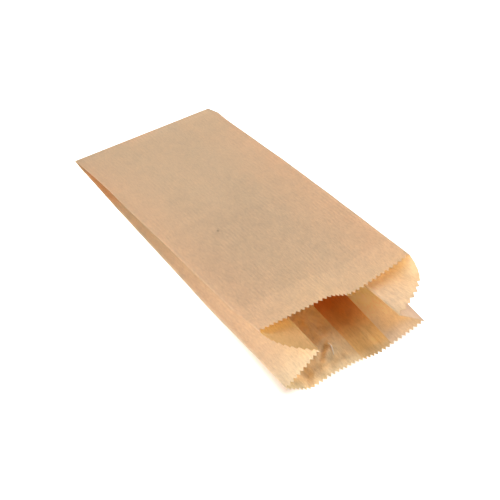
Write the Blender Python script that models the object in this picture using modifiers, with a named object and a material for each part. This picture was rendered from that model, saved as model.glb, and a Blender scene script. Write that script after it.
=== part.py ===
"""A brown paper lunch bag with side gussets, lying on its back panel with its mouth pulled open.

Lengths are in metres, +Z is up, +X is the bag's width and the open mouth faces -Y.
The paper's outer face is a loft along the bag's length, and Solidify gives it its thickness.
"""
import math

import bmesh
import bpy

# The flat bag
BAG_WIDTH = 0.120
BAG_LENGTH = 0.277
GUSSET_HALF_WIDTH = 0.035
FRONT_SETBACK = 0.028
PAPER_THICKNESS = 0.0001
LAYER_SPACING = 0.0005

# The glued seam in the back panel, measured from the bag's left edge
SEAM_START = 0.066
SEAM_WIDTH = 0.026

SEAM_GROUP = 0

# The closed end, folded under the back panel and glued there
END_FLAP_LENGTH = 0.015
END_FLAP_THICKNESS = 0.0005
END_FLAP_SIDE_INSET = 0.0004
END_FOLD_NOSE = 0.0007
CLOSED_HEIGHT = END_FLAP_THICKNESS + 3 * LAYER_SPACING

# The toothed cut
TOOTH_PITCH = 0.00343
TOOTH_DEPTH = 0.0015

# How the mouth stands open: heights at the front panel's cut edge and at the back panel's corners
LEFT_FOLD_HEIGHT = 0.0466
RIGHT_FOLD_HEIGHT = 0.0463
LEFT_CORNER_LIFT = 0.0134
RIGHT_CORNER_LIFT = 0.0100
LEFT_FOLD_DRAW_IN = 0.0026
RIGHT_FOLD_SPREAD = 0.0010
CORNER_DRAW_IN = 0.0043

# How the front panel's side folds rise, as (share of the way from the glued end to the cut, share of the
# height there); the last knot is past the cut, where the gussets go on to the back panel's edge
LEFT_RISE = ((0.0, 0.0), (0.085, 0.058), (0.175, 0.150), (0.35, 0.296), (0.49, 0.410), (0.645, 0.592),
             (0.735, 0.702), (0.87, 0.897), (1.0, 1.0), (1.12, 1.076))
RIGHT_RISE = ((0.0, 0.0), (0.085, 0.095), (0.175, 0.203), (0.406, 0.451), (0.534, 0.587), (0.718, 0.752),
              (0.86, 0.880), (1.0, 1.0), (1.12, 1.095))

# Gusset creases: the share of its width that each gusset half keeps as a straight chord at the mouth,
# the left crease's lift past the front panel's cut, and how far the free upper halves bow outwards
LEFT_UPPER_CHORD = 0.96
LEFT_LOWER_CHORD = 0.92
RIGHT_UPPER_CHORD = 0.99
RIGHT_LOWER_CHORD = 0.85
LEFT_CREASE_LIFT = math.radians(9.0)
LEFT_GUSSET_BOW = 0.0043
RIGHT_GUSSET_BOW = 0.0182
BOW_FADE_LENGTH = 0.070
BOW_SKEW = 0.74

# Dents across the panels at the mouth: place as a share of the width, height above or below the flat chord
FRONT_DENT = ((0.0, 0.0), (0.30, -0.0008), (0.46, -0.0010), (0.60, -0.0104), (0.68, -0.0092),
              (0.90, -0.0040), (1.0, 0.0))
FRONT_DENT_FADE_LENGTH = 0.095
FRONT_DENT_FADE_POWER = 1.5
# The back panel's height above the table at the mouth, as a share of the left corner's lift
BACK_WAVE = ((0.0, 1.0), (0.18, 0.0), (0.28, 0.25), (0.40, 0.31), (0.50, 0.28), (0.67, 0.0),
             (0.83, 0.36), (1.0, RIGHT_CORNER_LIFT / LEFT_CORNER_LIFT))
BEND_ROUNDING = 0.035

# Mesh density: the last plain row of points lies this many tooth depths behind the teeth's tips
TEETH_PER_COLUMN = 2
ROWS = 15
PLAIN_ROW_DEPTHS = 3.0
NOSE_SEGMENTS = 6

KRAFT_BROWN = (0.55, 0.36, 0.22, 1.0)


def clear_scene():
    for obj in list(bpy.data.objects):
        bpy.data.objects.remove(obj, do_unlink=True)


def kraft_paper_material():
    material = bpy.data.materials.new("kraft_paper")
    material.use_nodes = True
    shader = material.node_tree.nodes["Principled BSDF"]
    shader.inputs["Base Color"].default_value = KRAFT_BROWN
    shader.inputs["Roughness"].default_value = 0.85
    shader.inputs["Metallic"].default_value = 0.0
    return material


def straight_between(knots, place):
    for (start, low), (end, high) in zip(knots, knots[1:]):
        if place <= end:
            return low + (high - low) * (place - start) / (end - start)
    return knots[-1][1]


def rounded_between(knots, place):
    """Straight runs between the knots, with each bend rounded and both ends exact."""
    reach = max(0.0, min(BEND_ROUNDING, place, knots[-1][0] - place))
    offsets = (-1.0, -0.5, 0.0, 0.5, 1.0)
    return sum(straight_between(knots, place + reach * offset) for offset in offsets) / len(offsets)


def opening(distance, reach, power):
    """0 along the glued end, 1 at the reach, rising with the given power."""
    share = max(0.0, distance - END_FLAP_LENGTH) / (reach - END_FLAP_LENGTH)
    return share ** power


def mix(start, end, share):
    return tuple(a + (b - a) * share for a, b in zip(start, end))


def back_corner(side, distance):
    """Left (-1) or right (+1) edge fold of the back panel, as (x, z)."""
    lift = LEFT_CORNER_LIFT if side < 0 else RIGHT_CORNER_LIFT
    share = opening(distance, BAG_LENGTH, 1.0)
    x = side * (BAG_WIDTH / 2 - CORNER_DRAW_IN * share * share)
    return x, END_FLAP_THICKNESS * (1.0 - share) + lift * share


def front_corner(side, distance):
    """Left or right edge fold of the front panel, as (x, z)."""
    height, rise, spread = LEFT_FOLD_HEIGHT, LEFT_RISE, -LEFT_FOLD_DRAW_IN
    if side > 0:
        height, rise, spread = RIGHT_FOLD_HEIGHT, RIGHT_RISE, RIGHT_FOLD_SPREAD
    share = opening(distance, BAG_LENGTH - FRONT_SETBACK, 1.0)
    x = side * (BAG_WIDTH / 2 + spread * share * share)
    return x, CLOSED_HEIGHT + (height - CLOSED_HEIGHT) * rounded_between(rise, share)


def gusset_crease(side, distance):
    """Inner crease of a gusset: the corner of a triangle whose sides are the two gusset halves."""
    upper_x, upper_z = front_corner(side, distance)
    lower_x, lower_z = back_corner(side, distance)
    upper_z -= LAYER_SPACING
    lower_z += LAYER_SPACING
    share = opening(distance, BAG_LENGTH, 2.0)
    kept = (LEFT_UPPER_CHORD, LEFT_LOWER_CHORD) if side < 0 else (RIGHT_UPPER_CHORD, RIGHT_LOWER_CHORD)
    upper, lower = (GUSSET_HALF_WIDTH * (1.0 + (keep - 1.0) * share) for keep in kept)
    base = math.hypot(upper_x - lower_x, upper_z - lower_z)
    tilt = math.atan2(upper_z - lower_z, side * (upper_x - lower_x))
    corner = (base * base + lower * lower - upper * upper) / (2 * base * lower)
    swing = tilt + math.acos(max(-1.0, min(1.0, corner)))
    if side < 0:
        past_cut = max(0.0, distance - BAG_LENGTH + FRONT_SETBACK) / FRONT_SETBACK
        swing -= LEFT_CREASE_LIFT * past_cut
    return lower_x + side * lower * math.cos(swing), lower_z + lower * math.sin(swing)


def front_panel(share, distance):
    left, right = front_corner(-1, distance), front_corner(1, distance)
    x, z = mix(left, right, share)
    cut = BAG_LENGTH - FRONT_SETBACK
    near_mouth = max(0.0, 1.0 - (cut - distance) / FRONT_DENT_FADE_LENGTH)
    return x, z + rounded_between(FRONT_DENT, share) * near_mouth ** FRONT_DENT_FADE_POWER


def back_panel(share, distance):
    """From the right edge fold to the left one."""
    from_left = 1.0 - share
    left, right = back_corner(-1, distance), back_corner(1, distance)
    x, _ = mix(left, right, from_left)
    rise = opening(distance, BAG_LENGTH, 1.0)
    rest = END_FLAP_THICKNESS * (1.0 - rise)
    return x, rest + rounded_between(BACK_WAVE, from_left) * LEFT_CORNER_LIFT * rise


def upper_gusset(side, share, distance):
    """From the front panel's edge fold to the crease."""
    fold_x, fold_z = front_corner(side, distance)
    fold_z -= LAYER_SPACING
    crease_x, crease_z = gusset_crease(side, distance)
    crease_z += LAYER_SPACING / 2
    bow = LEFT_GUSSET_BOW if side < 0 else RIGHT_GUSSET_BOW
    near_mouth = max(0.0, 1.0 - (BAG_LENGTH - distance) / BOW_FADE_LENGTH)
    run_x, run_z = fold_x - crease_x, fold_z - crease_z
    length = math.hypot(run_x, run_z)
    even, rounded = 1.0 - share, math.cos(math.pi / 2 * share)
    along = even + (rounded - even) * near_mouth
    out = bow * near_mouth * math.sin(math.pi * share ** BOW_SKEW)
    return (crease_x + run_x * along + side * out * run_z / length,
            crease_z + run_z * along - side * out * run_x / length)


def lower_gusset(side, share, distance):
    """From the crease to the back panel's edge fold."""
    crease_x, crease_z = gusset_crease(side, distance)
    corner_x, corner_z = back_corner(side, distance)
    return mix((crease_x, crease_z - LAYER_SPACING / 2), (corner_x, corner_z + LAYER_SPACING), share)


def panels():
    """The sheet's panels in order round the bag, seen from the mouth clockwise from the upper left.

    Each is (width, surface, setback at its start, setback at its end).
    """
    return (
        (BAG_WIDTH, front_panel, FRONT_SETBACK, FRONT_SETBACK),
        (GUSSET_HALF_WIDTH, lambda s, d: upper_gusset(1, s, d), FRONT_SETBACK, 0.0),
        (GUSSET_HALF_WIDTH, lambda s, d: lower_gusset(1, s, d), 0.0, 0.0),
        (BAG_WIDTH, back_panel, 0.0, 0.0),
        (GUSSET_HALF_WIDTH, lambda s, d: lower_gusset(-1, 1.0 - s, d), 0.0, 0.0),
        (GUSSET_HALF_WIDTH, lambda s, d: upper_gusset(-1, 1.0 - s, d), 0.0, FRONT_SETBACK),
    )


def cut_distance(start_setback, end_setback, share):
    """How far from the closed end a panel is cut, at a share of its width."""
    return BAG_LENGTH - (start_setback + (end_setback - start_setback) * share)


def add_point(bm, surface, share, distance):
    """A point of the paper's outer face, marked where the seam doubles the paper."""
    x, z = surface(share, distance)
    vert = bm.verts.new((x, BAG_LENGTH / 2 - distance, z))
    if surface is back_panel:
        from_left = BAG_WIDTH * (1.0 - share)
        if SEAM_START <= from_left <= SEAM_START + SEAM_WIDTH:
            vert[bm.verts.layers.deform.verify()][SEAM_GROUP] = 1.0
    return vert


def add_panel(bm, width, surface, start_setback, end_setback):
    """One panel's grid of points, with the toothed edge as its own finer row."""
    columns = max(2, round(width / (TOOTH_PITCH * TEETH_PER_COLUMN)))
    rows = []
    for row in range(ROWS):
        points = []
        for column in range(columns + 1):
            share = column / columns
            last_row = cut_distance(start_setback, end_setback, share) - PLAIN_ROW_DEPTHS * TOOTH_DEPTH
            distance = last_row * row / (ROWS - 1)
            points.append(add_point(bm, surface, share, distance))
        rows.append(points)
    steps = columns * TEETH_PER_COLUMN * 2
    edge = []
    for step in range(steps + 1):
        share = step / steps
        notch = TOOTH_DEPTH if step % 2 else 0.0
        cut = cut_distance(start_setback, end_setback, share) - notch
        edge.append(add_point(bm, surface, share, cut))
    return rows, edge


def add_panel_faces(bm, rows, edge):
    for far, near in zip(rows, rows[1:]):
        for column in range(len(far) - 1):
            bm.faces.new((far[column], near[column], near[column + 1], far[column + 1]))
    last = rows[-1]
    per_column = (len(edge) - 1) // (len(last) - 1)
    middle = per_column // 2
    for column in range(len(last) - 1):
        teeth = edge[column * per_column:(column + 1) * per_column + 1]
        for step in range(per_column):
            inner = last[column] if step < middle else last[column + 1]
            bm.faces.new((inner, teeth[step], teeth[step + 1]))
        bm.faces.new((last[column], teeth[middle], last[column + 1]))


def paper_surface():
    """The outer face of the paper: six panels, the narrow turned folds between them and the closed end."""
    mesh = bpy.data.meshes.new("paper_bag")
    bm = bmesh.new()
    bm.verts.layers.deform.verify()
    parts = [add_panel(bm, *panel) for panel in panels()]
    for rows, edge in parts:
        add_panel_faces(bm, rows, edge)
    for (rows, edge), (next_rows, next_edge) in zip(parts, parts[1:] + parts[:1]):
        fold = [row[-1] for row in rows] + [edge[-1]]
        next_fold = [row[0] for row in next_rows] + [next_edge[0]]
        for step in range(len(fold) - 1):
            bm.faces.new((fold[step], fold[step + 1], next_fold[step + 1], next_fold[step]))
    end_loop = [vert for rows, _ in parts for vert in rows[0]]
    bm.faces.new(end_loop)
    bm.to_mesh(mesh)
    bm.free()
    return mesh


def folded_end():
    """The end strip turned under the back panel, with the round fold that closes the bag."""
    end = BAG_LENGTH / 2
    grip = PAPER_THICKNESS / 2
    top = CLOSED_HEIGHT - grip
    outline = [(end - END_FLAP_LENGTH, 0.0), (end, 0.0)]
    for step in range(1, NOSE_SEGMENTS):
        angle = -math.pi / 2 + math.pi * step / NOSE_SEGMENTS
        outline.append((end + END_FOLD_NOSE * math.cos(angle), top / 2 + top / 2 * math.sin(angle)))
    outline += [(end, top), (end - grip, top), (end - grip, END_FLAP_THICKNESS + grip),
                (end - END_FLAP_LENGTH, END_FLAP_THICKNESS + grip)]
    curve = bpy.data.curves.new("folded_end", "CURVE")
    curve.dimensions = "2D"
    curve.fill_mode = "BOTH"
    curve.extrude = BAG_WIDTH / 2 - END_FLAP_SIDE_INSET
    spline = curve.splines.new("POLY")
    spline.points.add(len(outline) - 1)
    for point, (y, z) in zip(spline.points, outline):
        point.co = (y, z, 0.0, 1.0)
    spline.use_cyclic_u = True
    flat = bpy.data.objects.new("folded_end_outline", curve)
    bpy.context.scene.collection.objects.link(flat)
    bpy.context.view_layer.update()
    mesh = bpy.data.meshes.new_from_object(flat.evaluated_get(bpy.context.evaluated_depsgraph_get()))
    bpy.data.objects.remove(flat, do_unlink=True)
    bm = bmesh.new()
    bm.from_mesh(mesh)
    bmesh.ops.remove_doubles(bm, verts=bm.verts, dist=1e-6)
    bmesh.ops.recalc_face_normals(bm, faces=bm.faces)
    bm.to_mesh(mesh)
    bm.free()
    strip = bpy.data.objects.new("folded_end", mesh)
    strip.rotation_euler = (math.pi / 2, 0.0, math.pi / 2)
    strip.hide_render = True
    strip.display_type = "WIRE"
    return strip


def centre_on_base(bag):
    """Move the bag so that the middle of its bounding box's underside is at the origin."""
    mesh = bag.evaluated_get(bpy.context.evaluated_depsgraph_get()).to_mesh()
    for axis, base_share in ((0, 0.5), (1, 0.5), (2, 0.0)):
        places = [vert.co[axis] for vert in mesh.vertices]
        low, high = min(places), max(places)
        bag.location[axis] = -(low + (high - low) * base_share)


def build():
    clear_scene()
    parts = bpy.data.collections.new("paper_lunch_bag")
    cutters = bpy.data.collections.new("joined_shapes")
    for collection in (parts, cutters):
        bpy.context.scene.collection.children.link(collection)

    bag = bpy.data.objects.new("paper_bag", paper_surface())
    bag.data.materials.append(kraft_paper_material())
    parts.objects.link(bag)
    seam = bag.vertex_groups.new(name="seam")

    paper = bag.modifiers.new("paper", "SOLIDIFY")
    paper.thickness = 2 * PAPER_THICKNESS
    paper.offset = -1.0
    paper.vertex_group = seam.name
    paper.thickness_vertex_group = 0.5

    strip = folded_end()
    strip.parent = bag
    cutters.objects.link(strip)
    glue = bag.modifiers.new("folded_end", "BOOLEAN")
    glue.operation = "UNION"
    glue.solver = "EXACT"
    glue.object = strip
    centre_on_base(bag)


build()
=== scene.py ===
"""A brown paper lunch bag lying on its back panel with its mouth pulled open.

The sheet is six panels round the bag. Every point of it has a place across its panel, from 0 to 1, and
a distance in metres from the closed end. Solidify gives the paper its thickness.
"""
import math

import bpy
import numpy as np
from mathutils import Matrix, Vector, noise


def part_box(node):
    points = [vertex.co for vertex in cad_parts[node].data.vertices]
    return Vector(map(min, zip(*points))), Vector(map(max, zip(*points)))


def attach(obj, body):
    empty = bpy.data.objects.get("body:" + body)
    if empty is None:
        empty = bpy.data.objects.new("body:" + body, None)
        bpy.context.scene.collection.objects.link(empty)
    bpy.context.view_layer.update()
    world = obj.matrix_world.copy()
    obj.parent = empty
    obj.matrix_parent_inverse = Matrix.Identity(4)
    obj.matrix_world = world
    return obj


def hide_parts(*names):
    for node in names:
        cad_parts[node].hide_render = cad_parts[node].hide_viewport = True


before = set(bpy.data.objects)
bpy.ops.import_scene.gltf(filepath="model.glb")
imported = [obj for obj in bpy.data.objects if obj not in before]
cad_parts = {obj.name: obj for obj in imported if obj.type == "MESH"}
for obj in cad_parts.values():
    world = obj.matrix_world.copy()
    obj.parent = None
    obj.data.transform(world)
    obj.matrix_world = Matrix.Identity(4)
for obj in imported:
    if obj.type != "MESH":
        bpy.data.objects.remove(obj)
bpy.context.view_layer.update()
CAD_LOW, CAD_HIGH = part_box("paper_bag")

# The noise field takes its start from the clock unless it is given a seed
NOISE_SEED = 7
noise.seed_set(NOISE_SEED)

# The flat bag, its plies, and how far the solid's closed end reaches past its length
BAG_WIDTH = 0.120
BAG_LENGTH = 0.277
GUSSET_HALF_WIDTH = 0.035
FRONT_SETBACK = 0.028
PAPER_THICKNESS = 0.00012
LAYER_SPACING = 0.00028
CAD_END_NOSE = 0.0007

# The closed end, folded under
END_FLAP_LENGTH = 0.015
END_FLAP_THICKNESS = 0.0006
CLOSED_HEIGHT = END_FLAP_THICKNESS + 3 * LAYER_SPACING
END_PLY_SPACING = 0.00015
END_SKEW = 0.0027
END_SKEW_FADE = 0.110
CORNER_CLIP = 0.0036
CORNER_CLIP_LENGTH = 0.0082
CORNER_CLIP_WIDTH = 0.014

# The toothed cut: half a tooth's width, its depth, how far behind it the rows of points bend, and the
# depth and extent of the nearly flat teeth, as shares of the others and of that panel's width
HALF_TOOTH = 0.00343 / 2
TOOTH_DEPTH = 0.0026
TOOTH_REACH = 0.0050
FLAT_TEETH = 0.20
FLAT_TEETH_EXTENT = 0.42

# Heights of the front panel's edge folds, as (distance from the closed end, height), in metres, how far a
# bend in them is rounded, how high the back panel's corners stand, and how far folds and corners move
# in or out across the bag
LEFT_FRONT_HEIGHTS = ((0.0, CLOSED_HEIGHT), (0.006, 0.0030), (0.020, 0.0064), (0.035, 0.0097),
                      (0.056, 0.0138), (0.083, 0.0174), (0.113, 0.0214), (0.148, 0.0266), (0.166, 0.0289),
                      (0.187, 0.0327), (0.219, 0.0370), (0.234, 0.0396), (0.249, 0.0456), (0.277, 0.0500))
RIGHT_FRONT_HEIGHTS = ((0.0, CLOSED_HEIGHT), (0.011, CLOSED_HEIGHT), (0.035, 0.0062), (0.056, 0.0110),
                       (0.110, 0.0220), (0.140, 0.0280), (0.183, 0.0353), (0.216, 0.0410), (0.249, 0.0472),
                       (0.277, 0.0505))
HEIGHT_ROUNDING = 0.012
ROUNDING_SAMPLES = 9
LEFT_CORNER_LIFT = 0.0148
RIGHT_CORNER_LIFT = 0.0100
LEFT_FOLD_DRAW_IN = 0.0026
RIGHT_FOLD_SPREAD = 0.0010
CORNER_DRAW_IN = 0.0043

# The gussets: each half's width at the mouth as a share of the flat one, how far the left crease lifts,
# and the bow of the free upper halves
LEFT_UPPER_CHORD = 0.96
LEFT_LOWER_CHORD = 0.92
RIGHT_UPPER_CHORD = 0.99
RIGHT_LOWER_CHORD = 0.85
LEFT_CREASE_LIFT = math.radians(9.0)
LEFT_GUSSET_BOW = 0.0043
RIGHT_GUSSET_BOW = 0.0194
BOW_FADE_LENGTH = 0.070
BOW_SKEW = 0.74

# Dents across the panels at the mouth, as (share of the width, height), how the front's fades out
# towards the closed end, and how far along a bend is rounded
FRONT_DENT = ((0.0, 0.0), (0.30, -0.0008), (0.46, -0.0010), (0.60, -0.0104), (0.68, -0.0092),
              (0.90, -0.0040), (1.0, 0.0))
FRONT_DENT_FADE_LENGTH = 0.080
FRONT_DENT_FADE_POWER = 1.8
FRONT_DENT_LIMIT = 1.3
BACK_WAVE = ((0.0, LEFT_CORNER_LIFT), (0.18, 0.0), (0.28, 0.0034), (0.40, 0.0042), (0.50, 0.0038),
             (0.67, 0.0), (0.83, 0.0048), (1.0, RIGHT_CORNER_LIFT))
BEND_ROUNDING = 0.035

# Gentle waves over the whole sheet, as (length of a wave, height)
WAVES = ((0.050, 0.00055), (0.017, 0.00016))
WAVE_START = 0.018
WAVE_FADE_LENGTH = 0.060

# Small creases, as (panel, across and distance at one end, the same at the other end, width, height),
# and the share of the height that is left at their ends
CREASE_END_SHARE = 0.35
CREASES = (
    ("front", 0.0639, 0.2392, 0.0744, 0.2366, 0.0011, -0.00050),
    ("front", 0.0650, 0.2378, 0.0760, 0.2352, 0.0012, 0.00035),
    ("front", 0.0790, 0.2080, 0.0850, 0.2230, 0.0012, -0.00040),
    ("front", 0.0364, 0.1400, 0.0362, 0.1455, 0.0013, -0.00055),
    ("front", 0.0355, 0.1480, 0.0325, 0.1620, 0.0016, -0.00025),
    ("front", 0.0150, 0.2420, 0.0135, 0.2490, 0.0012, -0.00030),
    ("back", 0.0364, 0.2480, 0.0359, 0.2770, 0.0015, 0.00110),
    ("back", 0.0349, 0.2550, 0.0316, 0.2770, 0.0015, -0.00070),
    ("back", 0.0680, 0.2500, 0.0815, 0.2625, 0.0015, -0.00190),
    ("back", 0.0690, 0.2565, 0.0795, 0.2665, 0.0017, 0.00110),
    ("back", 0.0632, 0.2590, 0.0614, 0.2732, 0.0024, 0.00090),
    ("back", 0.0644, 0.2560, 0.0627, 0.2617, 0.0010, 0.00060),
    ("back", 0.0585, 0.2480, 0.0600, 0.2620, 0.0018, -0.00060),
    ("back", 0.0790, 0.2220, 0.0850, 0.2440, 0.0024, 0.00090),
)

# Crumpled paper on the left of the back panel near the mouth: wave length, height, the waves' relative
# frequencies and heights, their middle level, and where it fades out
CRUMPLE_LENGTH = 0.017
CRUMPLE_HEIGHT = 0.0030
CRUMPLE_WAVES = ((1.0, 0.9), (2.1, 0.60), (4.3, 0.32))
CRUMPLE_LEVEL = 0.40
CRUMPLE_STRETCH = 0.8
CRUMPLE_SLICE = 4.1
CRUMPLE_EDGE = 0.018
CRUMPLE_ACROSS = (0.052, 0.066)
CRUMPLE_DISTANCE = (0.150, 0.200)

# Rows of points along a panel, closer together near the mouth, and round and under the closed end
ROWS = 190
DENSE_FROM = 0.190
DENSE_ROW_SHARE = 0.42
FLAP_ROWS = 9
NOSE_ROWS = 6

# Painted light and shade on single panels, as (across from and to, stops along the bag), with each stop a
# distance and a tint. They were set by comparing the render with the photo, stand for light through the
# doubled seam and between close plies, for shade in the narrow folds of the gussets and for the shadow of the
# front panel's cut edge, and are fixed to the paper, so they stay as they are in another light.
SEAM_ACROSS = (0.218, 0.244)
RIGHT_OF_SEAM = (0.190, 0.218)
LEFT_OF_SEAM = (0.244, 0.310)
LEFT_LOWER_GUSSET = (0.3100, 0.3450)
LEFT_UPPER_GUSSET = (0.3445, 0.3795)
RIGHT_LOWER_GUSSET = (0.1550, 0.1900)
RIGHT_UPPER_GUSSET = (0.1205, 0.1550)
OUTSIDE_PAINTED_TINTS = (
    (SEAM_ACROSS, ((0.0, (0.96, 0.95, 0.93)),)),
    (LEFT_LOWER_GUSSET, ((0.045, (0.82, 0.70, 0.54)), (0.072, (0.82, 0.90, 0.91)),
                         (0.200, (1.01, 1.10, 1.21)))),
    (RIGHT_LOWER_GUSSET, ((0.030, (0.82, 0.83, 0.87)), (0.200, (0.78, 0.80, 0.93)))))
INSIDE_PAINTED_TINTS = (
    (SEAM_ACROSS, ((0.205, (0.77, 0.30, 0.080)), (0.266, (1.05, 0.94, 0.65)), (0.275, (0.80, 0.80, 0.78)))),
    (LEFT_UPPER_GUSSET, ((0.243, (1.00, 1.02, 0.92)), (0.2525, (0.76, 0.66, 0.52)))),
    (RIGHT_UPPER_GUSSET, ((0.241, (1.06, 1.13, 1.32)), (0.258, (0.99, 1.01, 1.15)))),
    (LEFT_OF_SEAM, ((0.250, (1.00, 1.00, 0.97)), (0.266, (0.92, 0.92, 0.89)), (0.274, (0.91, 1.00, 1.16)))),
    (RIGHT_OF_SEAM, ((0.228, (1.07, 1.32, 1.61)), (0.244, (1.07, 1.17, 1.26)),
                     (0.261, (0.96, 0.96, 0.96)), (0.272, (0.84, 0.91, 1.20)))))
TINT_SOFT = 0.0003

# Paper: colour, colour of the light that comes through, strength of the mottling, and its painted light and
# shade on single panels
OUTSIDE_PAPER = ((0.880, 0.722, 0.506), (0.96, 0.73, 0.41), 0.8, OUTSIDE_PAINTED_TINTS)
INSIDE_PAPER = ((0.910, 0.785, 0.508), (0.99, 0.75, 0.40), 1.2, INSIDE_PAINTED_TINTS)
PAPER_ROUGHNESS = 0.75
PAPER_SPECULAR = 0.25
THROUGH_SHARE = 0.42

# Noise in the paper, as (size across, size along, detail, seed), and the levels between which it shows
FORMATION_NOISE = (0.0070, 0.0090, 4.0, 3.1)
TONE_NOISE = (0.034, 0.060, 2.0, 7.7)
FIBRE_NOISE = (0.00045, 0.0030, 3.0, 1.3)
FLECK_NOISE, FLECK_LEVELS = (0.0011, 0.0024, 2.0, 5.9), (0.40, 0.62)
THREAD_NOISE, THREAD_LEVELS = (0.0034, 0.0008, 2.0, 8.2), (0.36, 0.55)
RIB_NOISE, RIB_LEVELS = (0.020, 0.032, 2.0, 9.4), (-0.25, 0.35)
NOISE_ROUGHNESS = 0.6
RIB_PITCH = 0.00255
RIB_WANDER = 0.9

# What each adds to the shade, to the light that comes through, and to the relief
FORMATION_SHADE = 0.070
TONE_SHADE = 0.035
FIBRE_SHADE = 0.17
FLECK_SHADE = -0.15
THREAD_SHADE = 0.10
RIB_SHADE = 0.024
FORMATION_THROUGH = 0.10
FIBRE_THROUGH = 0.10
RIB_RELIEF = 0.5
FIBRE_RELIEF = 0.35
FORMATION_RELIEF = 0.6
RELIEF_STRENGTH = 0.55
RELIEF_HEIGHT = 0.00008

# Painted shade on the front panel where a second ply lies behind it and lets less light through, except along
# its edges and the mouth, lighter towards the closed end and darker towards the end of that area: where, how
# the end of that area slopes, how soft its edge is, and the painted shade at its two ends
DOUBLE_ACROSS = (0.005, 0.1175)
DOUBLE_END = 0.2215
DOUBLE_SLOPE = 0.03
DOUBLE_SOFT = 0.0011
DOUBLE_PAINTED_SHADE = 0.085
DOUBLE_PAINTED_LIGHT = 0.075

# The grain is stronger towards the mouth: from and to, and its strength at either
GRAIN = (0.080, 0.180, 1.30, 2.30)

# Painted highlight along the folds of the front panel: half width and strength
FOLD_HIGHLIGHT_WIDTH = 0.0013
FOLD_HIGHLIGHT_STRENGTH = 0.10

# Fine wrinkles on the left of the back panel near the mouth: where, their noise, their height as a share
# of the paper's relief, and the painted shade that makes them lighter and darker
WRINKLE_ACROSS = (0.249, 0.303)
WRINKLE_EDGE = 0.006
WRINKLE_DISTANCE = (0.195, 0.225)
WRINKLE_NOISE = (0.0050, 0.0075, 2.0, 4.6)
WRINKLE_HEIGHT = 7.0
WRINKLE_PAINTED_SHADE = 0.15

# Paler and darker patches, as (across, distance, half width, half length, strength). The dark dot and the
# ring are marks on the paper; the pale spot at the closed end and the pale streak along a crease in the seam
# are painted highlights, and the dark patch at the back panel's left corner near the mouth is painted shade
MARK_AND_PAINTED_LIGHT_PATCHES = ((0.0620, 0.0050, 0.0260, 0.0110, 0.060), (0.0540, 0.1080, 0.0150, 0.0330, 0.045),
                 (0.0811, 0.1264, 0.0022, 0.0030, 0.050), (0.0364, 0.1435, 0.0013, 0.0019, -0.500),
                 (0.0716, 0.0594, 0.0014, 0.0014, -0.120), (0.0841, 0.0996, 0.0040, 0.0008, 0.120),
                 (0.3020, 0.2740, 0.0170, 0.0160, -0.300), (0.2110, 0.2330, 0.0060, 0.0120, 0.100),
                 (0.2262, 0.2620, 0.0020, 0.0150, 0.200))

# A pale glossy strand on the inside of the back panel, put where a bright glint runs along a crease: its
# near-white colour is a painted highlight, and its gloss catches the lights. Across and distance of its
# start, middle and end, its thickness and the share of it at both ends, and how high it stands at its middle
STRAND_ACROSS = (0.0670, 0.06725, 0.06915)
STRAND_DISTANCE = (0.2529, 0.2574, 0.2627)
STRAND_THICKNESS = 0.00080
STRAND_END_SHARE = 0.45
STRAND_RISE = 0.0006
STRAND_POINTS = 15
STRAND_BEVEL_STEPS = 3
GLINT_COLOUR = (1.0, 0.965, 0.87)
GLINT_CLOUD_SCALE = 900.0
GLINT_CLOUD_DETAIL = 2.0
GLINT_CLOUDS = (0.2, 0.7, 0.93, 1.0)
GLINT_ROUGHNESS = 0.22
GLINT_SPECULAR = 1.0
GLINT_IOR = 2.0

# Lights: name, azimuth and elevation in degrees, watts
SOFTBOXES = (("left", 193.0, 23.0, 15.2), ("left_high", 180.0, 50.0, 4.6), ("front_right", -45.0, 35.0, 4.0),
             ("right", 0.0, 36.0, 16.5), ("top", 0.0, 82.0, 4.2))
SOFTBOX_SIZE = 0.9
SOFTBOX_DISTANCE = 1.6
MAX_BOUNCES = 24
DIFFUSE_BOUNCES = 10
TRANSMISSION_BOUNCES = 16

# The floor, and its glow outside a box a little smaller than the bag
FLOOR_REACH = 3.0
FLOOR_WHITE = 0.9
FLOOR_ROUGHNESS = 0.9
FLOOR_GLOW = 1.0
FLOOR_GLOW_INSET = 0.010
FLOOR_GLOW_MARGIN = 0.012

# Camera, in the bag's own frame
FOCAL_PIXELS = 1400.0
PHOTO_PIXELS = 500.0
SENSOR_WIDTH = 36.0
CAMERA_ELEVATION = math.radians(45.75)
CAMERA_AZIMUTH = math.radians(-33.10)
CAMERA_DISTANCE = 0.9925
CAMERA_TARGET = (-0.00018, -0.01069, 0.0)
CLIP_START = 0.01

# The bag's own frame has its middle line at x = 0 and its closed end at y = BAG_LENGTH / 2
OFFSET = Vector((CAD_LOW.x + BAG_WIDTH / 2, CAD_HIGH.y - CAD_END_NOSE - BAG_LENGTH / 2, 0.0))


def rounded_between(knots, place, rounding):
    """Straight runs between the knots, with each bend rounded and both ends exact."""
    at, value = zip(*knots)
    reach = np.clip(np.minimum(place - at[0], at[-1] - place), 0.0, rounding)
    offsets = np.linspace(-1.0, 1.0, ROUNDING_SAMPLES)
    return sum(np.interp(place + reach * offset, at, value) for offset in offsets) / len(offsets)


def opening(distance, reach, power):
    share = np.maximum(0.0, distance - END_FLAP_LENGTH) / (reach - END_FLAP_LENGTH)
    return share ** power


def smooth(value):
    value = np.clip(value, 0.0, 1.0)
    return value * value * (3.0 - 2.0 * value)


def back_corner(side, distance):
    lift = LEFT_CORNER_LIFT if side < 0 else RIGHT_CORNER_LIFT
    share = opening(distance, BAG_LENGTH, 1.0)
    x = side * (BAG_WIDTH / 2 - CORNER_DRAW_IN * share ** 2)
    return x, END_FLAP_THICKNESS * (1 - share) + lift * share


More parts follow.
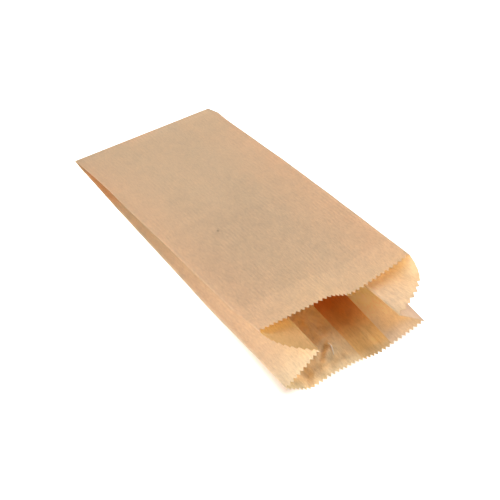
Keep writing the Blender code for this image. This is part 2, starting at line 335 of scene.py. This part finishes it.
def front_corner(side, distance):
    spread = -LEFT_FOLD_DRAW_IN if side < 0 else RIGHT_FOLD_SPREAD
    heights = LEFT_FRONT_HEIGHTS if side < 0 else RIGHT_FRONT_HEIGHTS
    share = opening(distance, BAG_LENGTH - FRONT_SETBACK, 1.0)
    return side * (BAG_WIDTH / 2 + spread * share ** 2), rounded_between(heights, distance, HEIGHT_ROUNDING)


def gusset_crease(side, distance):
    upper_x, upper_z = front_corner(side, distance)
    lower_x, lower_z = back_corner(side, distance)
    upper_z = upper_z - LAYER_SPACING
    lower_z = lower_z + LAYER_SPACING
    share = opening(distance, BAG_LENGTH, 2.0)
    kept = (LEFT_UPPER_CHORD, LEFT_LOWER_CHORD) if side < 0 else (RIGHT_UPPER_CHORD, RIGHT_LOWER_CHORD)
    upper, lower = (GUSSET_HALF_WIDTH * (1.0 + (keep - 1.0) * share) for keep in kept)
    base = np.hypot(upper_x - lower_x, upper_z - lower_z)
    tilt = np.arctan2(upper_z - lower_z, side * (upper_x - lower_x))
    corner = (base ** 2 + lower ** 2 - upper ** 2) / (2 * base * lower)
    swing = tilt + np.arccos(np.clip(corner, -1.0, 1.0))
    if side < 0:
        past_cut = np.maximum(0.0, distance - BAG_LENGTH + FRONT_SETBACK) / FRONT_SETBACK
        swing = swing - LEFT_CREASE_LIFT * past_cut
    return lower_x + side * lower * np.cos(swing), lower_z + lower * np.sin(swing)


def creases(panel, across, distance):
    """Height that the small creases of a panel add, each a soft ridge or groove along a line."""
    height = np.zeros(np.broadcast(across, distance).shape)
    for name, from_u, from_v, to_u, to_v, width, depth in CREASES:
        if name != panel:
            continue
        run = np.array((to_u - from_u, to_v - from_v))
        along = ((across - from_u) * run[0] + (distance - from_v) * run[1]) / (run @ run)
        along = np.clip(along, 0.0, 1.0)
        off = np.hypot(across - from_u - along * run[0], distance - from_v - along * run[1])
        fade = CREASE_END_SHARE + (1.0 - CREASE_END_SHARE) * np.sin(math.pi * along)
        height = height + depth * np.exp(-(off / width) ** 2) * fade
    return height


def crumple(across, distance):
    """Ridged waves where the back panel was squeezed, left of the seam."""
    low, high = CRUMPLE_ACROSS
    mask = smooth((across - low) / (high - low))
    low, high = CRUMPLE_DISTANCE
    mask = mask * smooth((distance - low) / (high - low)) * smooth((BAG_WIDTH - across) / CRUMPLE_EDGE)
    place = np.stack(np.broadcast_arrays(across, distance * CRUMPLE_STRETCH), axis=-1) / CRUMPLE_LENGTH
    ridged = [CRUMPLE_LEVEL - sum(share * abs(noise.noise((scale * u, scale * v, CRUMPLE_SLICE * scale)))
                                  for scale, share in CRUMPLE_WAVES)
              for u, v in place.reshape(-1, 2)]
    return CRUMPLE_HEIGHT * np.array(ridged).reshape(mask.shape) * mask


def front_panel(share, distance):
    (left_x, left_z), (right_x, right_z) = front_corner(-1, distance), front_corner(1, distance)
    near_mouth = 1.0 - (BAG_LENGTH - FRONT_SETBACK - distance) / FRONT_DENT_FADE_LENGTH
    near_mouth = np.clip(near_mouth, 0.0, FRONT_DENT_LIMIT)
    dent = rounded_between(FRONT_DENT, share, BEND_ROUNDING) * near_mouth ** FRONT_DENT_FADE_POWER
    dent = dent + creases("front", share * BAG_WIDTH, distance)
    return left_x + (right_x - left_x) * share, left_z + (right_z - left_z) * share + dent


def back_panel(share, distance):
    """From the right edge fold to the left one."""
    from_left = 1.0 - share
    left_x, right_x = back_corner(-1, distance)[0], back_corner(1, distance)[0]
    rise = opening(distance, BAG_LENGTH, 1.0)
    wave = rounded_between(BACK_WAVE, from_left, BEND_ROUNDING) * rise
    wave = wave + creases("back", share * BAG_WIDTH, distance) + crumple(share * BAG_WIDTH, distance)
    return left_x + (right_x - left_x) * from_left, END_FLAP_THICKNESS * (1.0 - rise) + wave


def upper_gusset(side, share, distance):
    """From the front panel's edge fold to the crease."""
    fold_x, fold_z = front_corner(side, distance)
    fold_z = fold_z - LAYER_SPACING
    crease_x, crease_z = gusset_crease(side, distance)
    crease_z = crease_z + LAYER_SPACING / 2
    bow = LEFT_GUSSET_BOW if side < 0 else RIGHT_GUSSET_BOW
    near_mouth = np.maximum(0.0, 1.0 - (BAG_LENGTH - distance) / BOW_FADE_LENGTH)
    run_x, run_z = fold_x - crease_x, fold_z - crease_z
    length = np.hypot(run_x, run_z)
    even, rounded = 1.0 - share, np.cos(math.pi / 2 * share)
    along = even + (rounded - even) * near_mouth
    out = bow * near_mouth * np.sin(math.pi * share ** BOW_SKEW)
    return (crease_x + run_x * along + side * out * run_z / length,
            crease_z + run_z * along - side * out * run_x / length)


def lower_gusset(side, share, distance):
    """From the crease to the back panel's edge fold."""
    crease_x, crease_z = gusset_crease(side, distance)
    corner_x, corner_z = back_corner(side, distance)
    crease_z, corner_z = crease_z - LAYER_SPACING / 2, corner_z + LAYER_SPACING
    return crease_x + (corner_x - crease_x) * share, crease_z + (corner_z - crease_z) * share


# In order round the bag, seen from the mouth clockwise from the upper left:
# width, surface, setback at its start, setback at its end, its ply in the folded end from below, and the
# share of its mouth edge, from its start, where the teeth are nearly flat
PANELS = (
    (BAG_WIDTH, front_panel, FRONT_SETBACK, FRONT_SETBACK, 0, 0.0),
    (GUSSET_HALF_WIDTH, lambda s, d: upper_gusset(1, s, d), FRONT_SETBACK, 0.0, 1, FLAT_TEETH_EXTENT),
    (GUSSET_HALF_WIDTH, lambda s, d: lower_gusset(1, s, d), 0.0, 0.0, 2, 0.0),
    (BAG_WIDTH, back_panel, 0.0, 0.0, 3, 0.0),
    (GUSSET_HALF_WIDTH, lambda s, d: lower_gusset(-1, 1.0 - s, d), 0.0, 0.0, 2, 0.0),
    (GUSSET_HALF_WIDTH, lambda s, d: upper_gusset(-1, 1.0 - s, d), 0.0, FRONT_SETBACK, 1, 0.0),
)


def end_warp(x, y, distance):
    """The closed end isn't quite square to the sides, and its right corner is clipped."""
    skew = END_SKEW * (x / BAG_WIDTH + 0.5) * smooth(1.0 - distance / END_SKEW_FADE)
    clip = CORNER_CLIP * np.clip(1.0 - distance / CORNER_CLIP_LENGTH, 0.0, 1.0)
    inward = smooth((x - BAG_WIDTH / 2 + CORNER_CLIP_WIDTH) / CORNER_CLIP_WIDTH)
    return x - clip * inward, y - skew


def waved(xyz, distance):
    """Moves the points along a smooth field, so that layers that touch move together."""
    loose = smooth((distance - WAVE_START) / WAVE_FADE_LENGTH)[:, None]
    for length, height in WAVES:
        field = np.array([noise.noise_vector(point / length) for point in xyz])
        xyz = xyz + height * loose * field
    xyz[:, 2] = np.maximum(xyz[:, 2], 0.0)
    return xyz


def add_sheet(points, faces, uvs, width, grid, start_u):
    """Adds a grid of points, rows by columns, and its faces with their place on the flat sheet."""
    rows, columns = grid.shape[:2]
    first = len(points)
    points.extend(map(tuple, grid[..., :3].reshape(-1, 3)))
    for row in range(rows - 1):
        for column in range(columns - 1):
            corner = first + row * columns + column
            faces.append((corner, corner + columns, corner + columns + 1, corner + 1))
            for r, c in ((row, column), (row + 1, column), (row + 1, column + 1), (row, column + 1)):
                uvs.append((start_u + width * c / (columns - 1), grid[r, c, 3]))
    return first


def panel_grid(width, surface, start_setback, end_setback, bottom, flat):
    columns = 2 * round(width / HALF_TOOTH / 2) + 1
    share = np.linspace(0.0, 1.0, columns)[None, :]
    cut = BAG_LENGTH - (start_setback + (end_setback - start_setback) * share)
    rows = np.interp(np.linspace(0.0, 1.0, ROWS), (0.0, 1.0 - DENSE_ROW_SHARE, 1.0),
                     (0.0, DENSE_FROM / BAG_LENGTH, 1.0))
    distance = cut * rows[:, None]
    notch = TOOTH_DEPTH * (np.arange(columns) % 2)[None, :] * np.where(share < flat, FLAT_TEETH, 1.0)
    distance = distance - notch * np.clip((distance - cut + TOOTH_REACH) / TOOTH_REACH, 0.0, 1.0)
    share = np.broadcast_to(share, distance.shape)
    x, z = surface(share, distance)
    grid = np.stack([x, BAG_LENGTH / 2 - distance, z, distance], axis=-1)
    return np.concatenate([wrap_rows(grid[0], bottom)[::-1], grid])


def wrap_rows(end_row, bottom):
    """Rows that carry a ply round the closed end and back under it, to a toothed edge."""
    columns = len(end_row)
    radius = (end_row[:, 2] - bottom) / 2
    centre = bottom + radius
    notch = TOOTH_DEPTH * (np.arange(columns) % 2)
    rows = []
    for step in range(1, NOSE_ROWS + 1):
        angle = math.pi * step / NOSE_ROWS
        row = end_row.copy()
        row[:, 1] = end_row[:, 1] + radius * math.sin(angle)
        row[:, 2] = centre + radius * math.cos(angle)
        row[:, 3] = -radius * angle
        rows.append(row)
    for step in range(1, FLAP_ROWS + 1):
        run = END_FLAP_LENGTH * step / FLAP_ROWS
        back = run - notch * np.clip((run - END_FLAP_LENGTH + TOOTH_REACH) / TOOTH_REACH, 0.0, 1.0)
        row = rows[NOSE_ROWS - 1].copy()
        row[:, 1] = end_row[:, 1] - back
        row[:, 3] = -radius * math.pi - back
        rows.append(row)
    return np.array(rows)


def bag_mesh():
    points, faces, uvs = [], [], []
    grids, starts, start_u = [], [], 0.0
    for width, surface, start_setback, end_setback, ply, flat in PANELS:
        grid = panel_grid(width, surface, start_setback, end_setback, ply * END_PLY_SPACING, flat)
        starts.append((add_sheet(points, faces, uvs, width, grid, start_u), grid.shape[:2], start_u + width))
        grids.append(grid)
        start_u += width
    for index in range(len(PANELS)):
        first, (rows, columns), fold_u = starts[index]
        next_first, (_, next_columns), _ = starts[(index + 1) % len(PANELS)]
        for row in range(rows - 1):
            a = first + row * columns + columns - 1
            b = next_first + row * next_columns
            faces.append((a, a + columns, b + next_columns, b))
            near, far = grids[index][row, -1, 3], grids[index][row + 1, -1, 3]
            uvs.extend([(fold_u, near), (fold_u, far), (fold_u, far), (fold_u, near)])
    xyz = np.array(points)
    distance = BAG_LENGTH / 2 - xyz[:, 1]
    xyz[:, 0], xyz[:, 1] = end_warp(xyz[:, 0], xyz[:, 1], distance)
    return waved(xyz, distance), faces, uvs


def make_object(name, xyz, faces, uvs, materials):
    mesh = bpy.data.meshes.new(name)
    mesh.from_pydata([tuple(Vector(p) + OFFSET) for p in xyz], [], faces)
    layer = mesh.uv_layers.new(name="sheet")
    layer.data.foreach_set("uv", np.array(uvs, np.float32).ravel())
    mesh.polygons.foreach_set("use_smooth", np.ones(len(mesh.polygons), bool))
    for material in materials:
        mesh.materials.append(material)
    mesh.update()
    obj = bpy.data.objects.new(name, mesh)
    bpy.context.scene.collection.objects.link(obj)
    return obj


def add_node(tree, kind, settings=None, inputs=None):
    """A shader node, with its inputs set to values or linked to sockets."""
    node = tree.nodes.new("ShaderNode" + kind)
    for name, value in (settings or {}).items():
        setattr(node, name, value)
    for name, value in (inputs or {}).items():
        if isinstance(value, bpy.types.NodeSocket):
            tree.links.new(value, node.inputs[name])
        else:
            node.inputs[name].default_value = value
    return node


def maths(tree, operation, first, second=0.0, third=0.0):
    return add_node(tree, "Math", {"operation": operation}, {0: first, 1: second, 2: third}).outputs[0]


def ramp(tree, value, low, high, to_low=0.0, to_high=1.0):
    """A soft step from one value to the other."""
    return add_node(tree, "MapRange", {"interpolation_type": "SMOOTHSTEP"},
                    {"Value": value, "From Min": low, "From Max": high,
                     "To Min": to_low, "To Max": to_high}).outputs["Result"]


def band(tree, value, low, high, soft):
    """1 between two values and 0 outside them."""
    rise = ramp(tree, value, low - soft, low + soft)
    fall = ramp(tree, value, high - soft, high + soft, 1.0, 0.0)
    return maths(tree, "MULTIPLY", rise, fall)


def patches(tree, sheet, across, along, detail, seed):
    """Noise from -1 to 1 with patches of a given size across and along the bag, in metres."""
    place = add_node(tree, "Mapping", {}, {"Vector": sheet, "Location": (seed, seed, seed),
                                           "Scale": (1.0 / across, 1.0 / along, 1.0)}).outputs[0]
    value = add_node(tree, "TexNoise", {}, {"Vector": place, "Scale": 1.0, "Detail": detail,
                                            "Roughness": NOISE_ROUGHNESS}).outputs[0]
    return maths(tree, "MULTIPLY_ADD", value, 2.0, -1.0)


def weigh(tree, parts, start):
    """The sum of weighted values on top of a start value."""
    total = start
    for value, weight in parts:
        total = maths(tree, "MULTIPLY_ADD", value, weight, total)
    return total


def vectors(tree, operation, first, second=(0.0, 0.0, 0.0)):
    return add_node(tree, "VectorMath", {"operation": operation}, {0: first, 1: second}).outputs["Vector"]


def length_of(tree, vector):
    return add_node(tree, "VectorMath", {"operation": "LENGTH"}, {0: vector}).outputs["Value"]


def tinted(tree, colour, strength):
    return add_node(tree, "VectorMath", {"operation": "SCALE"},
                    {0: colour, "Scale": strength}).outputs["Vector"]


def mix(tree, factor, first, second, blend="MIX"):
    return add_node(tree, "Mix", {"data_type": "RGBA", "blend_type": blend},
                    {"Factor": factor, 6: first, 7: second}).outputs[2]


def painted_tint_map(tree, across, distance, painted_tints):
    """A colour that is white but for the panels with painted light and shade."""
    result = (1.0, 1.0, 1.0, 1.0)
    for (start, end), stops in painted_tints:
        here = (*stops[0][1], 1.0)
        for (low, _), (high, painted_tint) in zip(stops, stops[1:]):
            here = mix(tree, ramp(tree, distance, low, high), here, (*painted_tint, 1.0))
        result = mix(tree, band(tree, across, start, end, TINT_SOFT), result, here)
    return result


def patch(tree, sheet, centre, size, strength):
    """A soft round patch that adds its strength to the shade at its centre."""
    off = add_node(tree, "Mapping", {}, {"Vector": sheet, "Scale": (1.0 / size[0], 1.0 / size[1], 0.0),
                                         "Location": (-centre[0] / size[0], -centre[1] / size[1], 0.0)})
    return ramp(tree, length_of(tree, off.outputs[0]), 0.0, 1.0, strength, 0.0)


def paper_material(name, colour, glow, cloud, painted_tints):
    """Ribbed kraft paper. Its colour varies with the fibres, and light that comes through it varies more."""
    material = bpy.data.materials.new(name)
    material.use_nodes = True
    tree = material.node_tree
    sheet = add_node(tree, "UVMap", {"uv_map": "sheet"}).outputs[0]
    place = add_node(tree, "SeparateXYZ", {}, {0: sheet})
    across, distance = place.outputs[0], place.outputs[1]

    formation = patches(tree, sheet, *FORMATION_NOISE)
    tone = patches(tree, sheet, *TONE_NOISE)
    fibres = patches(tree, sheet, *FIBRE_NOISE)
    flecks = ramp(tree, patches(tree, sheet, *FLECK_NOISE), *FLECK_LEVELS)
    threads = ramp(tree, patches(tree, sheet, *THREAD_NOISE), *THREAD_LEVELS)
    ribbed = ramp(tree, patches(tree, sheet, *RIB_NOISE), *RIB_LEVELS)
    turn = maths(tree, "MULTIPLY_ADD", formation, RIB_WANDER,
                 maths(tree, "MULTIPLY", across, 2 * math.pi / RIB_PITCH))
    ribs = maths(tree, "MULTIPLY", maths(tree, "SINE", turn), ribbed)

    # Painted shade over the fine wrinkles, lighter and darker with their noise
    wrinkle = patches(tree, sheet, *WRINKLE_NOISE)
    squeezed = maths(tree, "MULTIPLY", band(tree, across, *WRINKLE_ACROSS, WRINKLE_EDGE),
                     ramp(tree, distance, *WRINKLE_DISTANCE))
    shade = weigh(tree, ((formation, FORMATION_SHADE * cloud), (tone, TONE_SHADE * cloud),
                         (fibres, FIBRE_SHADE), (flecks, FLECK_SHADE), (threads, THREAD_SHADE),
                         (ribs, RIB_SHADE), (maths(tree, "MULTIPLY", wrinkle, squeezed), WRINKLE_PAINTED_SHADE)), 0.0)
    shade = maths(tree, "MULTIPLY_ADD", shade, ramp(tree, distance, *GRAIN), 1.0)

    # Painted shade and light where the front panel's second ply lies behind it
    edge = maths(tree, "MULTIPLY_ADD", across, DOUBLE_SLOPE, DOUBLE_END)
    inner = ramp(tree, maths(tree, "SUBTRACT", distance, edge), -DOUBLE_SOFT, DOUBLE_SOFT, 1.0, 0.0)
    double = maths(tree, "MULTIPLY", band(tree, across, *DOUBLE_ACROSS, DOUBLE_SOFT), inner)
    ply_painted_shade = ramp(tree, distance, 0.0, DOUBLE_END, 1.0 + DOUBLE_PAINTED_LIGHT, 1.0 - DOUBLE_PAINTED_SHADE)
    ply_painted_shade = maths(tree, "MULTIPLY_ADD", double, maths(tree, "SUBTRACT", ply_painted_shade, 1.0), 1.0)
    shade = maths(tree, "MULTIPLY", shade, ply_painted_shade)

    # Painted highlight along the front panel's two edge folds
    to_fold = maths(tree, "MINIMUM", maths(tree, "ABSOLUTE", across),
                    maths(tree, "ABSOLUTE", maths(tree, "SUBTRACT", across, BAG_WIDTH)))
    shade = maths(tree, "ADD", shade, ramp(tree, to_fold, 0.0, FOLD_HIGHLIGHT_WIDTH, FOLD_HIGHLIGHT_STRENGTH, 0.0))
    # Marks on the paper, with painted highlights and painted shade among them
    for centre_u, centre_v, half_width, half_length, strength in MARK_AND_PAINTED_LIGHT_PATCHES:
        shade = maths(tree, "ADD", shade,
                      patch(tree, sheet, (centre_u, centre_v), (half_width, half_length), strength))

    # Painted light and shade on single panels, multiplied into the paper's colour and into the light that
    # comes through
    painted_tint = painted_tint_map(tree, across, distance, painted_tints)
    paint = mix(tree, 1.0, tinted(tree, colour, shade), painted_tint, "MULTIPLY")
    through_shade = weigh(tree, ((formation, FORMATION_THROUGH * cloud), (fibres, FIBRE_THROUGH)), 1.0)
    through_paint = mix(tree, 1.0, tinted(tree, glow, through_shade), painted_tint, "MULTIPLY")
    ridges = maths(tree, "MULTIPLY", maths(tree, "ABSOLUTE", wrinkle), squeezed)
    relief = weigh(tree, ((ribs, RIB_RELIEF), (fibres, FIBRE_RELIEF), (formation, FORMATION_RELIEF),
                          (ridges, -WRINKLE_HEIGHT)), 0.0)
    bump = add_node(tree, "Bump", {}, {"Strength": RELIEF_STRENGTH, "Distance": RELIEF_HEIGHT,
                                       "Height": relief}).outputs[0]

    shader = tree.nodes["Principled BSDF"]
    tree.links.new(paint, shader.inputs["Base Color"])
    tree.links.new(bump, shader.inputs["Normal"])
    shader.inputs["Roughness"].default_value = PAPER_ROUGHNESS
    shader.inputs["Specular IOR Level"].default_value = PAPER_SPECULAR
    through = add_node(tree, "BsdfTranslucent", {}, {"Color": through_paint, "Normal": bump})
    mixer = add_node(tree, "MixShader", {}, {0: THROUGH_SHARE, 1: shader.outputs["BSDF"],
                                             2: through.outputs["BSDF"]})
    tree.links.new(mixer.outputs["Shader"], tree.nodes["Material Output"].inputs["Surface"])
    return material


# The strand's near-white colour is a painted highlight; its gloss catches the lights
def glint_material():
    material = bpy.data.materials.new("painted_glint")
    material.use_nodes = True
    tree = material.node_tree
    place = add_node(tree, "TexCoord").outputs["Object"]
    cloudy = add_node(tree, "TexNoise", {}, {"Vector": place, "Scale": GLINT_CLOUD_SCALE,
                                             "Detail": GLINT_CLOUD_DETAIL}).outputs[0]
    paint = tinted(tree, GLINT_COLOUR, ramp(tree, cloudy, *GLINT_CLOUDS))
    shader = tree.nodes["Principled BSDF"]
    tree.links.new(paint, shader.inputs["Base Color"])
    shader.inputs["Roughness"].default_value = GLINT_ROUGHNESS
    shader.inputs["Specular IOR Level"].default_value = GLINT_SPECULAR
    shader.inputs["IOR"].default_value = GLINT_IOR
    return material


def glint_strand():
    """A thin strand, curved through three points, whose ends lie on the back panel."""
    curve = bpy.data.curves.new("glint_strand", "CURVE")
    curve.dimensions = "3D"
    curve.bevel_depth = STRAND_THICKNESS / 2
    curve.bevel_resolution = STRAND_BEVEL_STEPS
    curve.use_fill_caps = True
    spline = curve.splines.new("POLY")
    spline.points.add(STRAND_POINTS - 1)
    for point, step in zip(spline.points, np.linspace(0.0, 1.0, STRAND_POINTS)):
        first, last = (1.0 - step) * (1.0 - 2.0 * step), step * (2.0 * step - 1.0)
        middle = 4.0 * step * (1.0 - step)
        across, distance = (first * knots[0] + middle * knots[1] + last * knots[2]
                            for knots in (STRAND_ACROSS, STRAND_DISTANCE))
        x, z = (float(value) for value in back_panel(np.array(across / BAG_WIDTH), np.array(distance)))
        arch = math.sin(math.pi * step)
        place = Vector((x, BAG_LENGTH / 2 - distance, z + STRAND_THICKNESS / 2 + STRAND_RISE * arch)) + OFFSET
        point.co = (*place, 1.0)
        point.radius = STRAND_END_SHARE + (1.0 - STRAND_END_SHARE) * arch
    curve.materials.append(glint_material())
    strand = bpy.data.objects.new("glint_strand", curve)
    bpy.context.scene.collection.objects.link(strand)
    return strand


def soft_light(name, azimuth, elevation, watts):
    """A round softbox that looks at the bag."""
    light = bpy.data.lights.new(name, "AREA")
    light.shape = "DISK"
    light.size = SOFTBOX_SIZE
    light.energy = watts
    direction = Vector((math.cos(azimuth) * math.cos(elevation), math.sin(azimuth) * math.cos(elevation),
                        math.sin(elevation)))
    obj = bpy.data.objects.new(name, light)
    obj.location = direction * SOFTBOX_DISTANCE
    obj.rotation_euler = direction.to_track_quat("Z", "Y").to_euler()
    bpy.context.scene.collection.objects.link(obj)


def floor_material():
    """White, and lit from within except close round the bag, so that only a faint shadow shows."""
    material = bpy.data.materials.new("floor")
    material.use_nodes = True
    tree = material.node_tree
    shader = tree.nodes["Principled BSDF"]
    shader.inputs["Base Color"].default_value = (FLOOR_WHITE, FLOOR_WHITE, FLOOR_WHITE, 1.0)
    shader.inputs["Roughness"].default_value = FLOOR_ROUGHNESS
    shader.inputs["Emission Color"].default_value = (1.0, 1.0, 1.0, 1.0)
    corner = (BAG_WIDTH / 2 - FLOOR_GLOW_INSET, BAG_LENGTH / 2 - FLOOR_GLOW_INSET, 0.0)
    near = vectors(tree, "ABSOLUTE", add_node(tree, "TexCoord").outputs["Object"])
    past = vectors(tree, "MAXIMUM", vectors(tree, "SUBTRACT", near, corner))
    glow = ramp(tree, length_of(tree, past), 0.0, FLOOR_GLOW_MARGIN, 0.0, FLOOR_GLOW)
    tree.links.new(glow, shader.inputs["Emission Strength"])
    return material


def studio():
    """The floor, the lights, and a white backdrop that only the camera sees."""
    scene = bpy.context.scene
    scene.view_settings.view_transform = "Standard"
    scene.cycles.max_bounces = MAX_BOUNCES
    scene.cycles.diffuse_bounces = DIFFUSE_BOUNCES
    scene.cycles.transmission_bounces = TRANSMISSION_BOUNCES
    world = bpy.data.worlds.new("studio")
    world.use_nodes = True
    background = world.node_tree.nodes["Background"]
    background.inputs["Color"].default_value = (1.0, 1.0, 1.0, 1.0)
    seen = world.node_tree.nodes.new("ShaderNodeLightPath")
    world.node_tree.links.new(seen.outputs["Is Camera Ray"], background.inputs["Strength"])
    scene.world = world
    for name, azimuth, elevation, watts in SOFTBOXES:
        soft_light(name, math.radians(azimuth), math.radians(elevation), watts)
    mesh = bpy.data.meshes.new("floor")
    mesh.from_pydata([(x * FLOOR_REACH, y * FLOOR_REACH, 0) for x, y in ((-1, -1), (1, -1), (1, 1), (-1, 1))],
                     [], [(0, 1, 2, 3)])
    mesh.materials.append(floor_material())
    floor = bpy.data.objects.new("floor", mesh)
    scene.collection.objects.link(floor)


def camera():
    scene = bpy.context.scene
    azimuth, elevation = CAMERA_AZIMUTH, CAMERA_ELEVATION
    right = Vector((math.cos(azimuth), math.sin(azimuth), 0.0))
    back = Vector((math.sin(azimuth) * math.cos(elevation), -math.cos(azimuth) * math.cos(elevation),
                   math.sin(elevation)))
    up = back.cross(right)
    data = bpy.data.cameras.new("camera")
    data.sensor_width = SENSOR_WIDTH
    data.lens = FOCAL_PIXELS / PHOTO_PIXELS * SENSOR_WIDTH
    data.clip_start = CLIP_START
    obj = bpy.data.objects.new("camera", data)
    place = Vector(CAMERA_TARGET) + OFFSET + back * CAMERA_DISTANCE
    rotation = Matrix((right, up, back)).transposed()
    obj.matrix_world = Matrix.Translation(place) @ rotation.to_4x4()
    scene.collection.objects.link(obj)
    scene.camera = obj


def build():
    xyz, faces, uvs = bag_mesh()
    outside = paper_material("kraft_outside", *OUTSIDE_PAPER)
    inside = paper_material("kraft_inside", *INSIDE_PAPER)
    bag = make_object("kraft_bag", xyz, faces, uvs, [outside, inside])
    paper = bag.modifiers.new("paper", "SOLIDIFY")
    paper.material_offset = 1
    paper.thickness = PAPER_THICKNESS
    paper.offset = -1.0
    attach(bag, "root")
    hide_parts("paper_bag")
    strand = glint_strand()
    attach(strand, "root")
    camera()
    studio()
    bpy.context.view_layer.update()


build()
